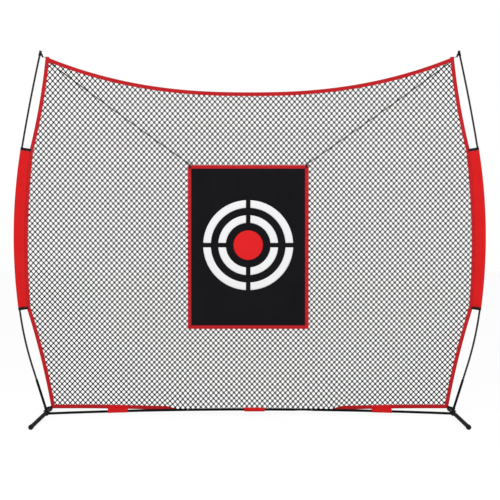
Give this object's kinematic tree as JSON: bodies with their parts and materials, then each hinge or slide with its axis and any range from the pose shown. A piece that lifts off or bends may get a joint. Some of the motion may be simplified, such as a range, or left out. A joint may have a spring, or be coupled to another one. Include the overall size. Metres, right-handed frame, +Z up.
{
  "type": "golf chipping net",
  "caption": "Free-standing golf net: bow poles in a flat steel base stretch a diamond mesh panel that holds a hung cloth target.",
  "frame": {"origin": "middle of the footprint on the floor", "axes": "+X to the right across the net, +Y to the back, +Z up; the target faces -Y"},
  "size_m": [3.048, 0.8, 2.3475],
  "materials": {
    "base_paint": "black powder-coated steel tube",
    "hub_paint": "black powder-coated steel plate",
    "zinc_steel": "zinc-plated steel",
    "pole_fibreglass": "black fibreglass rod",
    "ferrule_steel": "bare steel tube",
    "shock_cord": "braided elastic cord",
    "black_plastic": "moulded plastic",
    "net_twine": "black knotless nylon twine",
    "red_webbing": "red polyester hem tape",
    "red_oxford": "red polyester cloth",
    "black_webbing": "black polyester webbing",
    "black_cord": "black braided cord",
    "ring_steel": "black-coated steel wire",
    "spring_steel": "spring steel strip",
    "cap_rubber": "black rubber",
    "target_cloth": "black polyester cloth",
    "white_print": "white print on cloth",
    "red_print": "red print on cloth"
  },
  "bodies": {
    "stand": {"base_tube_left": "base_paint", "base_tube_center": "base_paint", "base_tube_right": "base_paint", "hub_bracket_left": "hub_paint", "hub_bracket_right": "hub_paint", "pole_socket_left": "base_paint", "pole_socket_right": "base_paint", "pivot_bolts": "zinc_steel", "pivot_washers": "zinc_steel", "pivot_nuts": "zinc_steel", "pole_lower_left": "pole_fibreglass", "pole_lower_right": "pole_fibreglass", "pole_middle_left": "pole_fibreglass", "pole_middle_right": "pole_fibreglass", "pole_upper_left": "pole_fibreglass", "pole_upper_right": "pole_fibreglass", "ferrule_lower_left": "ferrule_steel", "ferrule_lower_right": "ferrule_steel", "ferrule_upper_left": "ferrule_steel", "ferrule_upper_right": "ferrule_steel", "shock_cord_left": "shock_cord", "shock_cord_right": "shock_cord", "tip_cap_left": "black_plastic", "tip_cap_right": "black_plastic", "net_mesh": "net_twine", "hem_top": "red_webbing", "hem_bottom": "red_webbing", "hem_left": "red_webbing", "hem_right": "red_webbing", "sleeve_left": "red_oxford", "sleeve_right": "red_oxford", "sleeve_bands_left": "black_webbing", "sleeve_bands_right": "black_webbing", "strap_left": "red_oxford", "strap_center": "red_oxford", "strap_right": "red_oxford", "corner_loop_top_left": "black_webbing", "corner_loop_top_right": "black_webbing", "corner_cords": "black_cord", "corner_loop_bottom_left": "black_webbing", "corner_loop_bottom_right": "black_webbing", "hanging_cord_left": "black_cord", "hanging_cord_right": "black_cord", "hanging_ring_left": "ring_steel", "hanging_ring_right": "ring_steel", "button_spring_left": "spring_steel", "button_spring_right": "spring_steel"},
    "left_foot": {"foot_tube_left": "base_paint", "foot_cap_front_left": "cap_rubber", "foot_cap_rear_left": "cap_rubber"},
    "right_foot": {"foot_tube_right": "base_paint", "foot_cap_front_right": "cap_rubber", "foot_cap_rear_right": "cap_rubber"},
    "left_button": {"snap_button_left": "zinc_steel"},
    "right_button": {"snap_button_right": "zinc_steel"},
    "target": {"target_panel": "target_cloth", "target_border": "red_webbing", "target_rings": "white_print", "target_bullseye": "red_print", "target_tabs": "black_webbing"}
  },
  "joints": [
    {"name": "foot_fold_left", "type": "hinge", "parent": "stand", "child": "left_foot", "pos_m": [-1.311, 0.188, 0.015], "axis": [0, 0, 1], "range_deg": [0, 90]},
    {"name": "foot_fold_right", "type": "hinge", "parent": "stand", "child": "right_foot", "pos_m": [1.311, 0.188, 0.015], "axis": [0, 0, -1], "range_deg": [0, 90]},
    {"name": "snap_button_left", "type": "slide", "parent": "stand", "child": "left_button", "axis": [0, 1, 0], "range_m": [0, 0.003], "stiffness_N_per_m": 1500, "springref_m": -0.003, "deforming": ["button_spring_left"]},
    {"name": "snap_button_right", "type": "slide", "parent": "stand", "child": "right_button", "axis": [0, 1, 0], "range_m": [0, 0.003], "stiffness_N_per_m": 1500, "springref_m": -0.003, "deforming": ["button_spring_right"]},
    {"name": "target_swing", "type": "hinge", "parent": "stand", "child": "target", "pos_m": [-0.01, 0.223, 1.614], "axis": [-1, 0, 0], "range_deg": [0, 75]}
  ]
}
